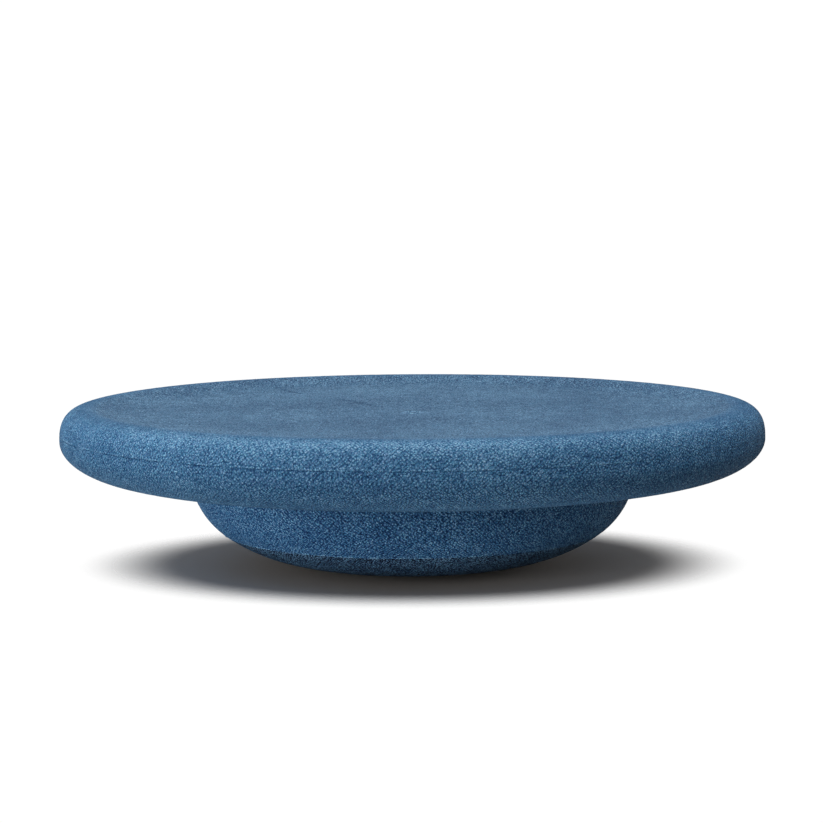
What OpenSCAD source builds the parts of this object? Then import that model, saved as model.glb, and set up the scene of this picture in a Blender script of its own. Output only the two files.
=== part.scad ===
// Balance board: a dished round deck of moulded bead foam on a bowl-shaped base that rocks and spins.
// Every piece is a body of revolution about Z. The board stands on z = 0 and its axis is x = y = 0.
// The pieces are glued to one another on flat seams, with a tongue or a spigot inside each seam.

/* [Deck] */
// Outside diameter of the board, across the rolled rim
board_d = 370; // [350:1:390]
// Height of the crest of the rim above the floor
board_h = 86.5; // [85:0.5:89]
// Height of the rim's widest line
rim_mid_z = 69.6; // [68:0.1:71]
// How far the upper roll of the rim reaches in from the widest line
rim_roll = 15.7; // [13:0.1:18]
// How square the upper roll is, where 2 is an ellipse
rim_squareness = 2.63; // [2:0.01:3.2]
// How far the lower roll of the rim reaches in from the widest line
under_roll = 35; // [28:0.5:40]
// How square the lower roll is, where 2 is an ellipse
under_squareness = 1.94; // [1.8:0.01:2.4]
// Height of the level underside of the deck
under_z = 50.3; // [49:0.1:52]
// Height of the seam between the deck's two mouldings
rim_seam_z = 73; // [72:0.5:76]

/* [Dish] */
// Depth of the dish at its centre, below the crest
dish_depth = 5.4; // [4.8:0.1:6.5]
// Radius of the crest's inner roll
crest_r = 14; // [10:0.5:18]
// Radius of the hollow where the inner slope meets the floor of the dish
hollow_r = 47; // [40:1:50]
// Slope of the straightest part between the crest and the floor, in degrees
dish_slope = 22; // [18:0.5:22]
// Outside radius of the round moulding mark at the centre
mark_r = 6; // [4:0.5:10]

/* [Base] */
// Radius of the rocking surface
rocker_r = 396.7; // [380:0.1:410]
// Radius of the flat foot that the board rests on when it is level
foot_r = 25; // [20:0.5:35]
// Slope at which the rocking surface turns into the haunch, in degrees
rocker_slope = 9.4; // [8.5:0.1:10]
// Radius of the haunch
haunch_r = 84.5; // [82:0.5:88]
// Slope at the seam between the cap and the wall, in degrees
haunch_slope = 35.85; // [34:0.05:37]
// Radius of the side wall's bulge
wall_r = 41.4; // [39:0.1:44]

/* [Joints inside] */
// Radius of the core, which fills the wall's bore
core_r = 80; // [70:1:90]
// Height of the cap's spigot inside the wall
cap_spigot_h = 8; // [5:0.5:12]
// Radius of the wall's spigot inside the deck
wall_spigot_r = 104; // [98:1:110]
// Height of the wall's spigot inside the deck
wall_spigot_h = 12; // [8:0.5:15]
// Radius of the middle of the tongue under the upper moulding
tongue_r = 143; // [135:1:150]
// Width of the tongue
tongue_w = 6; // [4:0.5:8]
// Height of the tongue
tongue_h = 6; // [4:0.5:8]
// Bevel on the outer edge of each seam
seam_bevel = 0.4; // [0.2:0.1:0.8]

/* [Hidden] */
$fn = 180;
roll_steps = 18;
arc_steps = 12;

rim_r = board_d / 2;
upper_h = board_h - rim_mid_z;
lower_h = rim_mid_z - under_z;
dish_z = board_h - dish_depth;

// Profile angles are slopes: 0 is the lowest point of a circle and 90 is level with its centre.
rocker_centre = [0, sqrt(pow(rocker_r, 2) - pow(foot_r, 2))];
haunch_centre = rocker_centre + (rocker_r - haunch_r) * slope_dir(rocker_slope);
wall_centre = haunch_centre + (haunch_r - wall_r) * slope_dir(haunch_slope);
base_seam_r = haunch_centre[0] + haunch_r * sin(haunch_slope);
base_seam_z = haunch_centre[1] - haunch_r * cos(haunch_slope);
wall_top_slope = acos((wall_centre[1] - under_z) / wall_r);

// The dish falls from the crest over a convex arc, turns in a concave one and ends in a shallow floor.
crest_centre = [rim_r - rim_roll, board_h - crest_r];
slope_start = crest_centre + crest_r * [-sin(dish_slope), cos(dish_slope)];
hollow_centre = slope_start + hollow_r * [-sin(dish_slope), cos(dish_slope)];
floor_edge = [hollow_centre[0], hollow_centre[1] - hollow_r];
floor_drop = floor_edge[1] - dish_z;

// The moulding mark is a low ring round a shallow recess.
mark_lip_w = 1;
mark_lip_h = 0.5;
mark_recess = 0.3;

function slope_dir(slope) = [sin(slope), -cos(slope)];

function slope_arc(centre, radius, from, to) = [
    for (i = [0:arc_steps])
        centre + radius * slope_dir(from + (to - from) * i / arc_steps)
];

// Angle along the upper roll at height z, and the point of either roll at an angle.
function upper_angle(z) = asin(pow((z - rim_mid_z) / upper_h, rim_squareness / 2));

function upper_point(a) = [
    rim_r - rim_roll + rim_roll * pow(cos(a), 2 / rim_squareness),
    rim_mid_z + upper_h * pow(sin(a), 2 / rim_squareness)
];

function lower_point(a) = [
    rim_r - under_roll + under_roll * pow(cos(a), 2 / under_squareness),
    rim_mid_z - lower_h * pow(sin(a), 2 / under_squareness)
];

function upper_roll(from, to) = [
    for (i = [0:roll_steps])
        upper_point(from + (to - from) * i / roll_steps)
];

function lower_roll() = [
    for (i = [1:roll_steps])
        lower_point(90 * i / roll_steps)
];

// Height of the dish's floor, a parabola that is level at the centre.
function floor_z(r) = dish_z + floor_drop * pow(r / floor_edge[0], 2);

function dish_floor() = [
    for (i = [1:arc_steps])
        let (r = floor_edge[0] + (mark_r - floor_edge[0]) * i / arc_steps)
            [r, floor_z(r)]
];

function dish() = concat(
    [
        for (i = [1:arc_steps])
            let (a = dish_slope * i / arc_steps)
                crest_centre + crest_r * [-sin(a), cos(a)]
    ],
    [
        for (i = [1:arc_steps])
            let (a = dish_slope * (1 - i / arc_steps))
                hollow_centre + hollow_r * [sin(a), -cos(a)]
    ],
    dish_floor()
);

function centre_mark() = [
    [mark_r - mark_lip_w / 4, dish_z + mark_lip_h],
    [mark_r - mark_lip_w * 3 / 4, dish_z + mark_lip_h],
    [mark_r - mark_lip_w, dish_z - mark_recess],
    [0, dish_z - mark_recess]
];

// The seam's outline, from the inside out, with the tongue below its plane.
function tongue() = [
    [tongue_r - tongue_w / 2, rim_seam_z],
    [tongue_r - tongue_w / 2, rim_seam_z - tongue_h],
    [tongue_r + tongue_w / 2, rim_seam_z - tongue_h],
    [tongue_r + tongue_w / 2, rim_seam_z]
];

// A point on the seam, one bevel in from the rim.
function rim_seam_point() = [upper_point(upper_angle(rim_seam_z))[0] - seam_bevel, rim_seam_z];

// Dished upper moulding: the standing surface and the upper part of the rolled rim.
module deck_top() {
    color("#3f6489")
        rotate_extrude()
            polygon(concat(
                [[0, rim_seam_z]],
                tongue(),
                [rim_seam_point()],
                upper_roll(upper_angle(rim_seam_z + seam_bevel), 90),
                dish(),
                centre_mark()
            ));
}

// Lower moulding of the deck: the rest of the rim and the underside, open where the base plugs in.
module deck_underside() {
    color("#35587c")
        rotate_extrude()
            polygon(concat(
                [[core_r, rim_seam_z]],
                tongue(),
                [rim_seam_point()],
                upper_roll(upper_angle(rim_seam_z - seam_bevel), 0),
                lower_roll(),
                [
                    [wall_spigot_r, under_z],
                    [wall_spigot_r, under_z + wall_spigot_h],
                    [core_r, under_z + wall_spigot_h]
                ]
            ));
}

// Side wall of the base, with the spigot that plugs into the deck.
module base_wall() {
    lower_edge = haunch_slope + seam_bevel / wall_r * 180 / PI;
    color("#2f4f72")
        rotate_extrude()
            polygon(concat(
                [
                    [core_r, base_seam_z],
                    [base_seam_r - seam_bevel, base_seam_z]
                ],
                slope_arc(wall_centre, wall_r, lower_edge, wall_top_slope),
                [
                    [wall_spigot_r, under_z],
                    [wall_spigot_r, under_z + wall_spigot_h],
                    [core_r, under_z + wall_spigot_h]
                ]
            ));
}

// Rocking cap below the base seam, with a flat foot and the spigot that plugs into the wall.
module base_cap() {
    upper_edge = haunch_slope - seam_bevel / haunch_r * 180 / PI;
    color("#22354f")
        rotate_extrude()
            polygon(concat(
                [[0, 0]],
                slope_arc(rocker_centre, rocker_r, asin(foot_r / rocker_r), rocker_slope),
                slope_arc(haunch_centre, haunch_r, rocker_slope, upper_edge),
                [
                    [base_seam_r - seam_bevel, base_seam_z],
                    [core_r, base_seam_z],
                    [core_r, base_seam_z + cap_spigot_h],
                    [0, base_seam_z + cap_spigot_h]
                ]
            ));
}

// Core that carries the load from the deck to the cap.
module core_block() {
    core_z = base_seam_z + cap_spigot_h;
    color("#8d99a6")
        translate([0, 0, core_z])
            cylinder(r = core_r, h = rim_seam_z - core_z);
}

deck_top();
deck_underside();
base_wall();
base_cap();
core_block();
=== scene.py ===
"""Balance board of moulded bead foam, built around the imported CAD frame.

Every piece is a body of revolution about Z, in metres. The outer radius and the heights of the seams come
from the frame; what the frame doesn't say, such as how round an edge is, is named below. Foam beads, seams
and moulding marks are mesh relief, and the finer grain of the skin is in the material.
"""
import math

import bpy
import numpy as np
from mathutils import Euler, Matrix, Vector, noise


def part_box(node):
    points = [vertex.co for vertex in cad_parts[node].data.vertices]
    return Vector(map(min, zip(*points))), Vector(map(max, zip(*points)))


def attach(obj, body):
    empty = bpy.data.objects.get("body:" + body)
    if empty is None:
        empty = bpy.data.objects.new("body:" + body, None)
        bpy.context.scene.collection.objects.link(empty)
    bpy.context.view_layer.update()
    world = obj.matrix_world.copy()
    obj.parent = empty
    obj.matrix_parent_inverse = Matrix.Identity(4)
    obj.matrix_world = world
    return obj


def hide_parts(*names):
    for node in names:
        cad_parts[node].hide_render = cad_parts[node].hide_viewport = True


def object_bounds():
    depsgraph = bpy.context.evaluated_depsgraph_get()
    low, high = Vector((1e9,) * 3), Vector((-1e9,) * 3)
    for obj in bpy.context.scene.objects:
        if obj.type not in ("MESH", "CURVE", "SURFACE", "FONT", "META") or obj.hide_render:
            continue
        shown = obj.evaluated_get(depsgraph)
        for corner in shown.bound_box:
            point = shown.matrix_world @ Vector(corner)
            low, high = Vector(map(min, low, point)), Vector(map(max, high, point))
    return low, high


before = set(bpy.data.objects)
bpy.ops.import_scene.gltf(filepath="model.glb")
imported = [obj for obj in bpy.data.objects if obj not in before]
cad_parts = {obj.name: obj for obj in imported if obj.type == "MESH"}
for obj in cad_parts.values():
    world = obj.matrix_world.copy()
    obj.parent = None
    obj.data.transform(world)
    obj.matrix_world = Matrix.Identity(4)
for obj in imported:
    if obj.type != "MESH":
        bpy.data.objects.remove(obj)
cad_low, cad_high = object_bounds()

MM = 0.001

# Sizes that the frame gives
RIM_R = cad_high.x
TOP_Z = cad_high.z
RIM_SEAM_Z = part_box("deck_underside")[1].z
UNDER_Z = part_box("deck_underside")[0].z
BASE_SEAM_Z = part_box("base_wall")[0].z
SPIGOT_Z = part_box("base_wall")[1].z
CAP_SPIGOT_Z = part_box("base_cap")[1].z

# Rolled rim: how far its upper and lower halves reach in, and how square they are, where 2 is an ellipse
RIM_MID_Z = 69.6 * MM
RIM_ROLL = 15.7 * MM
RIM_SQUARENESS = 2.63
UNDER_ROLL = 35 * MM
UNDER_SQUARENESS = 1.94

# Dish: a convex crest, a straight slope, a concave hollow and a shallow floor
DISH_DEPTH = 5.4 * MM
CREST_R = 14 * MM
HOLLOW_R = 47 * MM
DISH_SLOPE = math.radians(22)

# Mark at the centre of the dish: a lip round a recess
MARK_R = 6 * MM
MARK_LIP_W = 1 * MM
MARK_LIP_H = 0.3 * MM
MARK_EDGE_W = 1.3 * MM
MARK_RECESS = 0.1 * MM

# Base: three tangent arcs, which meet where the outline has these slopes
FOOT_R = 25 * MM
ROCKER_R = 396.7 * MM
ROCKER_SLOPE = math.radians(9.4)
HAUNCH_R = 84.5 * MM
HAUNCH_SLOPE = math.radians(35.85)
WALL_R = 41.4 * MM

# Joints inside, which only close the meshes
CORE_R = 80 * MM
TONGUE_IN = 140 * MM
TONGUE_OUT = 146 * MM
TONGUE_H = 6 * MM
WALL_SPIGOT_R = 104 * MM

# Mesh density: the most and the fewest vertices round a ring, and the gap between rings, finer at a seam
SEGMENTS = 896
FEWEST_SEGMENTS = 14
STEP = 1.2 * MM
FINE_STEP = 0.25 * MM
STEP_GROWTH = 1.4
SHORTEST_EDGE = 0.6 * STEP
SAME_POINT = 1e-7
ON_AXIS = 1e-6

# Relief of the skin: beads, slow waves, and the height over which both fade out at the foot. The skin is
# level at BEAD_LEVEL of a bead's size from its middle.
BEAD = 4.2 * MM
BEAD_RELIEF = 0.07 * MM
BEAD_LEVEL = 0.45
WAVE = 55 * MM
WAVE_RELIEF = 0.04 * MM
FOOT_FADE = 1 * MM

# Seams: dark grooves that open in patches, mostly on one side of the board, the lit front-left, where the
# flashes also keep most of their painted highlight
SEAM_W = 0.4 * MM
SEAM_DEPTH = 0.25 * MM
BASE_SEAM_DEPTH = 0.75 * MM
SEAM_CLOSED_SHARE = 0.2
SEAM_TINT = 0.5
SEAM_PATCH = 10 * MM
SEAM_WORN = 0.72
OPEN_AND_LIT_ANGLE = math.radians(-116)
OPEN_AND_LIT_SHARE = 0.35
PATCH_EDGE = 0.2

# Flash: broken ridges beside the seams, painted pale as a highlight
FLASH_W = 0.32 * MM
FLASH_WORN_AND_UNLIT = 0.68
RIM_FLASH_Z = RIM_SEAM_Z + SEAM_W + 0.8 * FLASH_W
RIM_FLASH_PATCH = 14 * MM
RIM_FLASH_H = 0.2 * MM
RIM_FLASH_SHARE = 0.4
BASE_FLASH_Z = BASE_SEAM_Z + FLASH_W
BASE_FLASH_PATCH = 5 * MM
BASE_FLASH_H = 0.3 * MM

# Painted highlight: a pale band along the crest of the rim, strongest on the front where the light falls
CREST_HIGHLIGHT = 0.45
CREST_HIGHLIGHT_R = 179 * MM
CREST_HIGHLIGHT_W = 7 * MM
CREST_LIT_ANGLE = math.radians(-94)
CREST_LIT_FOCUS = 4

# Painted glint on the lip of the centre mark, broken in patches
MARK_GLINT_PATCH = 2 * MM
MARK_GLINT_LEVEL = 0.6
MARK_GLINT_CONTRAST = 2

# Shallow dents on the dish's floor: start, end, width and depth of each. A negative depth is a ridge. A dent
# is painted dark as shade and a ridge pale as a highlight.
DISH_DENTS = [
    ((-0.085, 0.142), (-0.064, 0.105), 1.6 * MM, 0.5 * MM),
    ((-0.040, 0.073), (-0.017, 0.032), 1.6 * MM, 0.5 * MM),
    ((0.056, 0.044), (0.065, 0.0435), 1.2 * MM, -0.3 * MM),
]
DENT_SHADE_AND_HIGHLIGHT = 0.6

# Grain of the skin, in the material: pebbles in diagonal rows, colour flecks and slow clouds
PEBBLE = 1.35 * MM
PEBBLE_ROWS = math.radians(45)
PEBBLE_DISORDER = 0.65
FLAT_BLEND = 8 * MM
FLECK = 0.8 * MM
FINE_PER_FLECK = 2.2
HUE_PER_FLECK = 0.8
CLOUD = 70 * MM
NOISE_SPAN = {"From_Min": 0.3, "From_Max": 0.7}

# Tone of the foam: what centres the grain, how strongly a tint counts and the palest fleck
TONE_OFFSET = 0.49
TINT = 0.55
PALEST = 0.45

# Colours: each foam leans from a violet to a teal, and a pale grey mix of dust and painted sheen lies on the
# dish
DECK_BLUES = ((0.034, 0.087, 0.184), (0.024, 0.103, 0.196))
# The wall's blues are the deck's foam darkened with painted shade, for the shade under the deck's overhang
WALL_SHADED_BLUES = ((0.025, 0.075, 0.178), (0.016, 0.088, 0.19))
# The cap's blues: a darker foam, darkened further with painted shade
CAP_DARK_AND_SHADED_BLUES = ((0.011, 0.034, 0.096), (0.006, 0.042, 0.099))
CORE_GREYS = ((0.45, 0.49, 0.55), (0.44, 0.51, 0.55))
DUST_AND_SHEEN = (0.1, 0.14, 0.185)
DUST_AND_SHEEN_SHARE = 0.18

# Where the grain stops lying flat and wraps round the piece
DECK_FLAT_R = RIM_R - 12 * MM
CAP_FLAT_R = 90 * MM

# Camera: a long lens that looks slightly down on the board
CAMERA_AWAY = 1.3
CAMERA_AIM_Z = 0.045
CAMERA_ELEVATION = math.radians(7.503)
CAMERA_PITCH_UP = math.radians(1.61)
CAMERA_ROLL = math.radians(-0.342)
CAMERA_YAW = math.radians(0.0145)
LENS_MM = 107.19
SENSOR_MM = 36
CAMERA_REACH = 50

# Floor: an oval disc just under the foot, narrower front to back and set a little back, with a soft edge
FLOOR_R = 184 * MM
FLOOR_GAP = 0.2 * MM
FLOOR_SEGMENTS = 128
FLOOR_NARROWING = 1.27
FLOOR_SHIFT = 14 * MM
FLOOR_FADE_R = 0.68 * FLOOR_R
FLOOR_PAINT = (0.65, 0.6, 0.56)

# Studio lights: azimuth from the camera's side, elevation and watts of each
LIGHTS = {
    "left_bounce": (-66, -17, 25.0),
    "low_key": (-40, 2, 10.0),
    "front": (-8, 52, 18.5),
    "high_left": (-35, 75, 9.0),
    "high_right": (15, 75, 11.0),
    "top_back": (180, 60, 10.0),
}
LIGHT_AWAY = 1.8
LIGHT_SIZE = 0.9
LIGHT_AIM_Z = 0.05

# Surround: grey all round, with a white sheet whose soft edges are given as directions on the unit sphere
STUDIO_GREY = 0.42
SHEET_WHITE = 1.02
SHEET_TOP = {"From_Min": 0.08, "From_Max": 0.16}
SHEET_SIDE = {"From_Min": 0.7, "From_Max": 0.9}


def superellipse(centre, reach, rise, squareness, start, end, count=240):
    """Points (r, z) on a rolled edge, between two angles: 0 at its widest and 90 degrees at its far end."""
    angles = np.linspace(start, end, count)
    r = centre[0] + reach * np.cos(angles).clip(0) ** (2 / squareness)
    z = centre[1] + rise * np.sin(angles).clip(0) ** (2 / squareness)
    return np.stack([r, z], 1)


def roll_angle(share, squareness):
    """The angle at which a rolled edge has risen by this share of its height."""
    return math.asin(share ** (squareness / 2))


def slope_dir(slope):
    """Direction from a circle's centre to the point of its lower side that has this slope."""
    return np.array([math.sin(slope), -math.cos(slope)])


def slope_arc(centre, radius, start, end, count=160):
    """Points on the lower side of a circle, between two slopes."""
    return centre + radius * np.array([slope_dir(s) for s in np.linspace(start, end, count)])


def chain(*runs):
    """One outline from several runs of points, without repeating the point where two meet."""
    points = np.concatenate([np.atleast_2d(run) for run in runs])
    apart = np.linalg.norm(np.diff(points, axis=0), axis=1) > SAME_POINT
    return points[np.concatenate([[True], apart])]


def fine_places():
    """Places along an outline whose spacing grows from FINE_STEP to STEP."""
    places = [0.0]
    gap = FINE_STEP
    while gap < STEP:
        places += [places[-1] + gap, places[-1] + 2 * gap, places[-1] + 3 * gap]
        gap *= STEP_GROWTH
    return np.array(places)


def graded(points, fine_start, fine_end):
    """The outline at even spacing, finer towards an end that carries a seam."""
    lengths = np.concatenate([[0], np.cumsum(np.linalg.norm(np.diff(points, axis=0), axis=1))])
    total = lengths[-1]
    head = fine_places() if fine_start else np.array([0.0])
    tail = total - fine_places()[::-1] if fine_end else np.array([total])
    middle = np.linspace(head[-1], tail[0], round((tail[0] - head[-1]) / STEP) + 1)
    at = np.concatenate([head, middle[1:-1], tail])
    return np.stack([np.interp(at, lengths, points[:, k]) for k in (0, 1)], 1)


def outward(points):
    """Unit normals of an outline that is walked with the foam on its left."""
    along = np.gradient(points, axis=0)
    along /= np.linalg.norm(along, axis=1)[:, None]
    return np.stack([along[:, 1], -along[:, 0]], 1)


def skin_relief(point):
    """How far the moulded skin stands proud at a point: beads and slow waves, which leave the foot flat."""
    nearest = noise.voronoi(point / BEAD)[0][0]
    share = min(point.z / FOOT_FADE, 1.0)
    return share * (BEAD_RELIEF * (BEAD_LEVEL - nearest) + WAVE_RELIEF * noise.noise(point / WAVE))


def ring_count(r):
    """Vertices round a ring, halved towards the axis so that faces keep their size."""
    count = SEGMENTS
    while count > FEWEST_SEGMENTS and 2 * math.pi * r / count < SHORTEST_EDGE:
        count //= 2
    return count


def bridge(lower, upper):
    """Faces between neighbouring rings of vertices, of which one may have twice as many or be a pole."""
    if len(lower) == 1 or len(upper) == 1:
        pole, ring = (lower, upper) if len(lower) == 1 else (upper, lower)
        faces = [(pole[0], ring[j], ring[(j + 1) % len(ring)]) for j in range(len(ring))]
        return [f[::-1] for f in faces] if pole is lower else faces
    if len(lower) == len(upper):
        n = len(lower)
        return [(lower[j], lower[(j + 1) % n], upper[(j + 1) % n], upper[j]) for j in range(n)]
    coarse, fine = (lower, upper) if len(lower) < len(upper) else (upper, lower)
    n = len(coarse)
    faces = []
    for j in range(n):
        here, there = coarse[j], coarse[(j + 1) % n]
        a, b, c = fine[2 * j], fine[2 * j + 1], fine[(2 * j + 2) % len(fine)]
        faces += [(here, b, a), (here, there, b), (there, c, b)]
    return faces if coarse is lower else [f[::-1] for f in faces]


def revolve(name, skin, hidden, body, details):
    """A closed piece from its visible outline, which gets relief, and the hidden points that close it.

    The details give a height and a tint, from -1 for dark to 1 for pale, at each point of the skin. The tint
    carries the dark seams and painted light: highlights on the flash, crest and mark, and shade in the dents.
    """
    outline = np.concatenate([skin, hidden])
    normals = np.concatenate([outward(skin), np.zeros_like(hidden)])
    rings, verts, faces, arcs, tints = [], [], [], [], []
    gaps = np.linalg.norm(np.diff(outline, axis=0), axis=1)
    reached = np.concatenate([[0], np.cumsum(gaps)])
    for (r, z), (nr, nz), arc in zip(outline, normals, reached):
        count = 1 if r < ON_AXIS else ring_count(r)
        ring = []
        for j in range(count):
            angle = 2 * math.pi * j / count
            c, s = math.cos(angle), math.sin(angle)
            rise = tint = 0.0
            if nr or nz:
                rise, tint = details(r, z, angle)
                rise += skin_relief(Vector((r * c, r * s, z)))
            tints.append(tint)
            ring.append(len(verts))
            verts.append(((r + nr * rise) * c, (r + nr * rise) * s, z + nz * rise))
        rings.append(ring)
        arcs += [arc] * count
    for k, ring in enumerate(rings):
        following = rings[(k + 1) % len(rings)]
        if len(ring) > 1 or len(following) > 1:
            faces += bridge(ring, following)
    mesh = bpy.data.meshes.new(name)
    mesh.from_pydata(verts, [], faces)
    mesh.attributes.new("arc", "FLOAT", "POINT").data.foreach_set("value", arcs)
    mesh.attributes.new("tint", "FLOAT", "POINT").data.foreach_set("value", tints)
    mesh.shade_smooth()
    piece = bpy.data.objects.new(name, mesh)
    bpy.context.scene.collection.objects.link(piece)
    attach(piece, body)
    return piece


def patchy(angle, radius, spacing, worn):
    """How much is left, from 0 to 1, in patches round a seam and most on the lit front-left: for a seam, how
    open it stays where it closed elsewhere; for a flash, how much of the ridge and its painted highlight is
    left where it wore off elsewhere.
    """
    at = Vector((radius * math.cos(angle), radius * math.sin(angle), 0)) / spacing
    level = 0.5 + 0.5 * noise.noise(at) + OPEN_AND_LIT_SHARE * math.cos(angle - OPEN_AND_LIT_ANGLE)
    return min(max((level - worn) / PATCH_EDGE, 0.0), 1.0)


def seam(z, seam_z, angle, radius, depth):
    """A thin dark groove where two mouldings meet, which closes up in places."""
    profile = max(0.0, 1 - abs(z - seam_z) / SEAM_W)
    left = patchy(angle, radius, SEAM_PATCH, SEAM_WORN)
    open_share = SEAM_CLOSED_SHARE + (1 - SEAM_CLOSED_SHARE) * left
    return np.array([-depth * open_share, -SEAM_TINT * left]) * profile


def flash_with_highlight(z, ridge_z, angle, radius, spacing, height):
    """A thin broken ridge that the mould left beside a seam, painted pale as a highlight."""
    profile = max(0.0, 1 - ((z - ridge_z) / FLASH_W) ** 2)
    left = patchy(angle, radius, spacing, FLASH_WORN_AND_UNLIT)
    return np.array([height, 1.0]) * left * profile


def painted_crest_highlight(radius, angle):
    """Painted highlight: the pale band on the crest of the rim, strongest on the lit front."""
    band = max(0.0, 1 - abs(radius - CREST_HIGHLIGHT_R) / CREST_HIGHLIGHT_W)
    lit_side = 0.5 + 0.5 * math.cos(angle - CREST_LIT_ANGLE)
    return np.array([0.0, CREST_HIGHLIGHT * band * lit_side**CREST_LIT_FOCUS])


def dent(x, y, start, end, width, depth):
    """A shallow dent along a line on the dish's floor, painted dark as shade, or a ridge painted pale as a
    highlight if the depth is negative.
    """
    along = np.subtract(end, start)
    share = min(max(np.dot(np.subtract((x, y), start), along) / np.dot(along, along), 0.0), 1.0)
    off = math.dist((x, y), np.add(start, share * along))
    return np.array([-depth, -math.copysign(DENT_SHADE_AND_HIGHLIGHT, depth)]) * math.exp(-((off / width) ** 2))


def painted_mark_glint(x, y, radius):
    """Painted glint on the lip of the mark at the centre of the dish, broken in patches."""
    near = max(0.0, 1 - abs(radius - (MARK_R - MARK_LIP_W / 2)) / MARK_LIP_W)
    left = MARK_GLINT_LEVEL + MARK_GLINT_CONTRAST * noise.noise(Vector((x, y, 0)) / MARK_GLINT_PATCH)
    return np.array([0.0, near * min(max(left, 0.0), 1.0)])


def rim_outline(start, end):
    """The upper roll of the rim, between two angles."""
    centre = (RIM_R - RIM_ROLL, RIM_MID_Z)
    return superellipse(centre, RIM_ROLL, TOP_Z - RIM_MID_Z, RIM_SQUARENESS, start, end)


def rim_seam_angle():
    """The angle of the rim's seam on the upper roll."""
    return roll_angle((RIM_SEAM_Z - RIM_MID_Z) / (TOP_Z - RIM_MID_Z), RIM_SQUARENESS)


def dish_outline():
    """The crest, the hollow and the dish's floor, from the rim inwards to the mark."""
    crest_centre = np.array([RIM_R - RIM_ROLL, TOP_Z - CREST_R])
    crest = crest_centre - slope_arc(np.zeros(2), CREST_R, 0, DISH_SLOPE)
    hollow_centre = crest[-1] - HOLLOW_R * slope_dir(DISH_SLOPE)
    hollow = slope_arc(hollow_centre, HOLLOW_R, DISH_SLOPE, 0)
    dish_z = TOP_Z - DISH_DEPTH
    r = np.linspace(hollow[-1][0], MARK_R, 200)
    floor = np.stack([r, dish_z + (hollow[-1][1] - dish_z) * (r / r[0]) ** 2], 1)
    return chain(crest, hollow, floor)


def mark_outline():
    """The lip and the recess of the mark, from the dish's floor inwards to the axis."""
    dish_z = TOP_Z - DISH_DEPTH
    recess_z = dish_z - MARK_RECESS
    share = np.linspace(0, 1, 7)[1:]
    lip = np.stack([MARK_R - MARK_LIP_W * share, dish_z + MARK_LIP_H * np.sin(math.pi * share)], 1)
    recess = [(MARK_R - MARK_EDGE_W, recess_z), (MARK_R / 2, recess_z), (0, recess_z)]
    return chain(lip, recess)


def deck_top():
    """Dished upper moulding: from the rim seam over the crest and across the dish to its centre."""
    roll = rim_outline(rim_seam_angle(), math.pi / 2)
    bowl = graded(chain(roll, dish_outline()), True, True)
    hidden = [(0, RIM_SEAM_Z), (TONGUE_IN, RIM_SEAM_Z), (TONGUE_IN, RIM_SEAM_Z - TONGUE_H)]
    hidden += [(TONGUE_OUT, RIM_SEAM_Z - TONGUE_H), (TONGUE_OUT, RIM_SEAM_Z)]

    def details(r, z, angle):
        if r > TONGUE_OUT:
            groove = seam(z, RIM_SEAM_Z, angle, r, SEAM_DEPTH)
            ridge = flash_with_highlight(z, RIM_FLASH_Z, angle, r, RIM_FLASH_PATCH, RIM_FLASH_H)
            return groove + RIM_FLASH_SHARE * ridge + painted_crest_highlight(r, angle)
        x, y = r * math.cos(angle), r * math.sin(angle)
        return painted_mark_glint(x, y, r) + sum(dent(x, y, *each) for each in DISH_DENTS)

    return revolve("deck_top_foam", chain(bowl, mark_outline()), np.array(hidden), "root", details)


def deck_underside():
    """Lower moulding of the deck: from the base out across the underside and up round the rim to its seam."""
    fall = UNDER_Z - RIM_MID_Z
    lower = superellipse((RIM_R - UNDER_ROLL, RIM_MID_Z), UNDER_ROLL, fall, UNDER_SQUARENESS, math.pi / 2, 0)
    upper = rim_outline(0, rim_seam_angle())
    skin = graded(chain([(WALL_SPIGOT_R, UNDER_Z)], lower, upper), False, True)
    hidden = [(TONGUE_OUT, RIM_SEAM_Z), (TONGUE_OUT, RIM_SEAM_Z - TONGUE_H)]
    hidden += [(TONGUE_IN, RIM_SEAM_Z - TONGUE_H), (TONGUE_IN, RIM_SEAM_Z), (CORE_R, RIM_SEAM_Z)]
    hidden += [(CORE_R, SPIGOT_Z), (WALL_SPIGOT_R, SPIGOT_Z)]

    def details(r, z, angle):
        return seam(z, RIM_SEAM_Z, angle, r, SEAM_DEPTH)

    return revolve("deck_underside_foam", skin, np.array(hidden), "root", details)


def base_centres():
    """Centres of the base's three tangent arcs: rocking surface, haunch and wall."""
    rocker = np.array([0, math.sqrt(ROCKER_R**2 - FOOT_R**2)])
    haunch = rocker + (ROCKER_R - HAUNCH_R) * slope_dir(ROCKER_SLOPE)
    return rocker, haunch, haunch + (HAUNCH_R - WALL_R) * slope_dir(HAUNCH_SLOPE)


def base_wall():
    """Bulging side wall, with a broken flash along its lower edge, painted pale as a highlight."""
    centre = base_centres()[2]
    top_slope = math.acos((centre[1] - UNDER_Z) / WALL_R)
    skin = graded(slope_arc(centre, WALL_R, HAUNCH_SLOPE, top_slope), True, False)
    hidden = [(WALL_SPIGOT_R, UNDER_Z), (WALL_SPIGOT_R, SPIGOT_Z), (CORE_R, SPIGOT_Z), (CORE_R, BASE_SEAM_Z)]

    def details(r, z, angle):
        return flash_with_highlight(z, BASE_FLASH_Z, angle, r, BASE_FLASH_PATCH, BASE_FLASH_H)

    return revolve("base_wall_foam", skin, np.array(hidden), "root", details)


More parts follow.
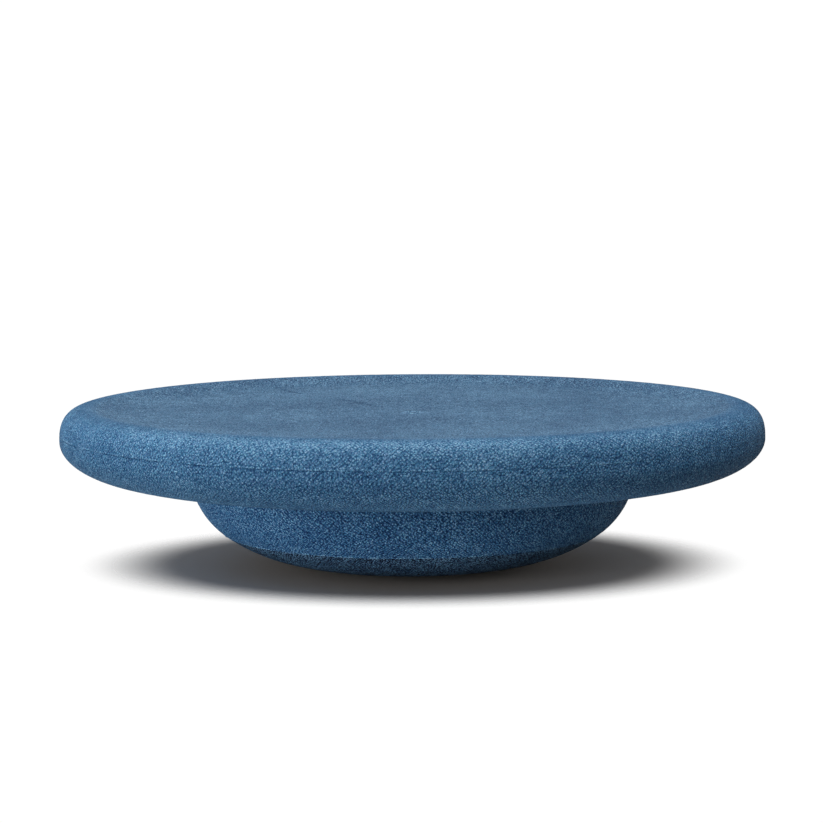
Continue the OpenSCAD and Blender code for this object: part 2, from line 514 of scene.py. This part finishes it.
def base_cap():
    """Rocking cap below the base seam, on its flat foot."""
    rocker, haunch, _ = base_centres()
    bottom = slope_arc(rocker, ROCKER_R, math.asin(FOOT_R / ROCKER_R), ROCKER_SLOPE)
    side = slope_arc(haunch, HAUNCH_R, ROCKER_SLOPE, HAUNCH_SLOPE)
    skin = graded(chain([(0, 0)], bottom, side), False, True)
    hidden = [(CORE_R, BASE_SEAM_Z), (CORE_R, CAP_SPIGOT_Z), (0, CAP_SPIGOT_Z)]

    def details(r, z, angle):
        return seam(z, BASE_SEAM_Z, angle, r, BASE_SEAM_DEPTH)

    return revolve("base_cap_foam", skin, np.array(hidden), "root", details)


class Graph:
    """Builds the nodes of a material or world.

    Each call adds a node, sets its inputs and links those that are sockets. An input is given by its name,
    with _ for a space, or by its number after an i.
    """

    def __init__(self, owner):
        owner.use_nodes = True
        self.tree = owner.node_tree
        self.tree.nodes.clear()

    def __call__(self, kind, out=0, settings=(), **inputs):
        made = self.tree.nodes.new("ShaderNode" + kind)
        for key, value in dict(settings).items():
            setattr(made, key, value)
        for key, value in inputs.items():
            numbered = key[0] == "i" and key[1:].isdigit()
            socket = made.inputs[int(key[1:]) if numbered else key.replace("_", " ")]
            if isinstance(value, bpy.types.NodeSocket):
                self.tree.links.new(value, socket)
            else:
                socket.default_value = value
        if out == "all":
            return made.outputs
        return made.outputs[out] if made.outputs else None

    def math(self, operation, *values):
        return self("Math", settings={"operation": operation}, **{f"i{k}": v for k, v in enumerate(values)})

    def length(self, vector):
        return self("VectorMath", out=1, settings={"operation": "LENGTH"}, i0=vector)

    def blend(self, share, start, end):
        """A mix of two colours."""
        return self("Mix", out=2, settings={"data_type": "RGBA"}, i0=share, i6=start, i7=end)

    def smooth_range(self, value, **limits):
        return self("MapRange", settings={"interpolation_type": "SMOOTHSTEP"}, Value=value, **limits)

    def attribute(self, name):
        return self("Attribute", out=2, settings={"attribute_name": name})

    def sum(self, *terms):
        """A weighted sum of (weight, socket) terms."""
        total = 0.0
        for weight, socket in terms:
            total = self.math("MULTIPLY_ADD", socket, weight, total)
        return total


def pebbles(g, place):
    """Distance from the middle of the nearest pebble of a grain that runs in diagonal rows over a plane."""
    rows = g("Mapping", Vector=place, Rotation=(0, 0, PEBBLE_ROWS), Scale=(1 / PEBBLE, 1 / PEBBLE, 1))
    flat = {"voronoi_dimensions": "2D"}
    return g("TexVoronoi", settings=flat, Vector=rows, Scale=1.0, Randomness=PEBBLE_DISORDER)


def grain(g, at, wrap_r, flat_r):
    """The pebble grain, wrapped round the piece at wrap_r and laid flat nearer the axis than flat_r.

    It comes with the share of the wrapped grain.
    """
    x, y, _ = g("SeparateXYZ", out="all", Vector=at)
    angle = g.math("ARCTAN2", x, g.math("MULTIPLY", y, -1.0))
    round_it = g.math("MULTIPLY", angle, wrap_r)
    wrapped = pebbles(g, g("CombineXYZ", X=round_it, Y=g.attribute("arc")))
    away = g.length(g("CombineXYZ", X=x, Y=y))
    share = g("MapRange", Value=away, From_Min=flat_r - FLAT_BLEND, From_Max=flat_r)
    return g("Mix", i0=share, i2=pebbles(g, at), i3=wrapped), share


def foam(name, colours, contrast, relief, wrap_r, flat_r, flat_gain=1.0, dust_and_sheen=0.0):
    """Moulded bead foam: flecks from dark to pale, leaning to one colour or the other, on a pebbled skin.

    The flat part of the grain has flat_gain times the contrast and this share of a pale grey mix of dust and
    painted sheen on it.
    """
    material = bpy.data.materials.new(name)
    g = Graph(material)
    at = g("TexCoord", out=3)
    fleck = g("TexNoise", Vector=at, Scale=1 / FLECK, Detail=1.5, Roughness=0.7)
    fine = g("TexNoise", Vector=at, Scale=FINE_PER_FLECK / FLECK, Detail=1.0, Roughness=0.5)
    cloud = g("TexNoise", Vector=at, Scale=1 / CLOUD, Detail=2.0, Roughness=0.5)
    bead_tone = g("SeparateColor", Color=g("TexVoronoi", out=1, Vector=at, Scale=1 / BEAD))
    pebble, share = grain(g, at, wrap_r, flat_r)

    hue = g("TexNoise", Vector=at, Scale=HUE_PER_FLECK / FLECK, Detail=1.0, Roughness=0.5)
    lean = g("MapRange", Value=hue, **NOISE_SPAN)
    base = g.blend(lean, (*colours[0], 1), (*colours[1], 1))

    # The tone is the exponent of the base colour: above 1 it gives dark flecks and below 1 pale ones
    tone = g.sum((-0.55, fleck), (-0.45, fine), (0.25, pebble), (-0.12, cloud), (-0.05, bead_tone))
    gain = g("MapRange", Value=share, To_Min=contrast * flat_gain, To_Max=contrast)
    depth = g.math("MULTIPLY_ADD", g.math("ADD", tone, TONE_OFFSET), gain, 1.0)
    # The tint darkens the seams and paints highlights and shade into the colour
    tinted = g.math("MULTIPLY_ADD", g.attribute("tint"), -TINT, depth)
    colour = g("Gamma", Color=base, Gamma=g.math("MAXIMUM", tinted, PALEST))
    # Dust and painted sheen: a pale grey laid over the colour of the flat part
    dust_and_sheen_mix = g("MapRange", Value=share, To_Min=dust_and_sheen, To_Max=0.0)
    worn = g.blend(dust_and_sheen_mix, colour, (*DUST_AND_SHEEN, 1))

    height = g.sum((-1.0, pebble), (0.4, fleck), (0.25, fine))
    bump = g("Bump", Strength=1.0, Distance=relief, Height=height)
    rough = g("MapRange", Value=fleck, **NOISE_SPAN, To_Min=0.9, To_Max=0.75)
    finish = {"Base_Color": worn, "Roughness": rough, "Normal": bump}
    shader = g("BsdfPrincipled", **finish, Specular_IOR_Level=0.1, Diffuse_Roughness=1.0)
    g("OutputMaterial", Surface=shader)
    return material


def deck_foam():
    """The standing surface and the upper rim: more contrasty on the dish, with dust and painted sheen on it.
    """
    where = {"wrap_r": RIM_R, "flat_r": DECK_FLAT_R}
    dish = {"flat_gain": 1.6, "dust_and_sheen": DUST_AND_SHEEN_SHARE}
    return foam("deck_foam", DECK_BLUES, contrast=2.8, relief=0.8 * MM, **where, **dish)


def under_foam():
    """The lower rim and the underside of the deck."""
    return foam("under_foam", DECK_BLUES, contrast=3.0, relief=0.9 * MM, wrap_r=RIM_R, flat_r=DECK_FLAT_R)


def shaded_wall_foam():
    """The side wall in the deck's foam, darkened with painted shade under the deck's overhang, all of it
    wrapped.
    """
    return foam("shaded_wall_foam", WALL_SHADED_BLUES, contrast=3.9, relief=0.9 * MM, wrap_r=WALL_SPIGOT_R, flat_r=0)


def cap_foam():
    """The coarse dark foam of the cap, darkened further with painted shade for the shade it sits in below the
    deck.
    """
    return foam("cap_foam", CAP_DARK_AND_SHADED_BLUES, contrast=9.0, relief=1.5 * MM, wrap_r=WALL_SPIGOT_R, flat_r=CAP_FLAT_R)


def core_foam():
    """The grey foam of the core, all of it flat."""
    return foam("core_foam", CORE_GREYS, contrast=2.0, relief=0.8 * MM, wrap_r=CORE_R, flat_r=2 * CORE_R)


def make_board():
    """The four visible pieces in place of their CAD nodes, and the core, which keeps its CAD mesh."""
    for make, node, slot, material in (
        (deck_top, "deck_top", "deck_foam", deck_foam),
        (deck_underside, "deck_underside", "deck_foam", under_foam),
        (base_wall, "base_wall", "deck_foam", shaded_wall_foam),
        (base_cap, "base_cap", "cap_foam", cap_foam),
    ):
        piece = make()
        piece.data.materials.append(material())
        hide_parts(node)
    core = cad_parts["core_block"].data
    core.materials.clear()
    core.materials.append(core_foam())


def make_camera():
    """The camera, in front of the board and a little above it, tilted so that the board is low in view."""
    data = bpy.data.cameras.new("camera")
    data.sensor_width = SENSOR_MM
    data.lens = LENS_MM
    data.clip_end = CAMERA_REACH
    camera = bpy.data.objects.new("camera", data)
    rise = CAMERA_AWAY * math.sin(CAMERA_ELEVATION)
    camera.location = (0, -CAMERA_AWAY * math.cos(CAMERA_ELEVATION), CAMERA_AIM_Z + rise)
    tilt = Euler((math.pi / 2 - CAMERA_ELEVATION + CAMERA_PITCH_UP, 0, 0)).to_matrix()
    look = tilt @ Euler((0, 0, CAMERA_ROLL)).to_matrix()
    camera.rotation_euler = (Euler((0, 0, CAMERA_YAW)).to_matrix() @ look).to_euler()
    bpy.context.scene.collection.objects.link(camera)
    bpy.context.scene.camera = camera


def make_floor():
    """A pale floor that fades into the white surround close to the board."""
    bpy.ops.mesh.primitive_circle_add(vertices=FLOOR_SEGMENTS, radius=FLOOR_R, fill_type="NGON")
    floor = bpy.context.object
    floor.name = "floor"
    floor.location.z = -FLOOR_GAP
    material = bpy.data.materials.new("white_floor")
    g = Graph(material)
    at = g("TexCoord", out=3)
    oval = g("Mapping", Vector=at, Location=(0, -FLOOR_SHIFT, 0), Scale=(1, FLOOR_NARROWING, 1))
    fade = g.smooth_range(g.length(oval), From_Min=FLOOR_FADE_R, From_Max=FLOOR_R)
    paint = g("BsdfDiffuse", Color=(*FLOOR_PAINT, 1))
    g("OutputMaterial", Surface=g("MixShader", i0=fade, i1=paint, i2=g("BsdfTransparent")))
    floor.data.materials.append(material)


def make_lights():
    """Soft round lights on a sphere about the board. The lowest stands for light off a wide pale floor."""
    for name, (azimuth, elevation, power) in LIGHTS.items():
        turn, rise = math.radians(azimuth), math.radians(elevation)
        away = Vector((math.sin(turn) * math.cos(rise), -math.cos(turn) * math.cos(rise), math.sin(rise)))
        data = bpy.data.lights.new(name, "AREA")
        data.shape = "DISK"
        data.size = LIGHT_SIZE
        data.energy = power
        lamp = bpy.data.objects.new(name, data)
        lamp.location = Vector((0, 0, LIGHT_AIM_Z)) + LIGHT_AWAY * away
        lamp.rotation_euler = (-away).to_track_quat("-Z", "Y").to_euler()
        bpy.context.scene.collection.objects.link(lamp)


def make_world():
    """A pale grey studio all round, with a white sheet behind the board, up to just above the horizon."""
    world = bpy.data.worlds.new("studio")
    g = Graph(world)
    _, y, z = g("SeparateXYZ", out="all", Vector=g("TexCoord", out=0))
    below = g.smooth_range(z, **SHEET_TOP, To_Min=1.0, To_Max=0.0)
    behind = g.smooth_range(y, **SHEET_SIDE)
    level = g("MapRange", Value=g.math("MULTIPLY", below, behind), To_Min=STUDIO_GREY, To_Max=SHEET_WHITE)
    g("OutputWorld", Surface=g("Background", Color=(1, 1, 1, 1), Strength=level))
    bpy.context.scene.world = world


make_camera()
make_board()
make_floor()
make_lights()
make_world()
bpy.context.scene.view_settings.view_transform = "Standard"
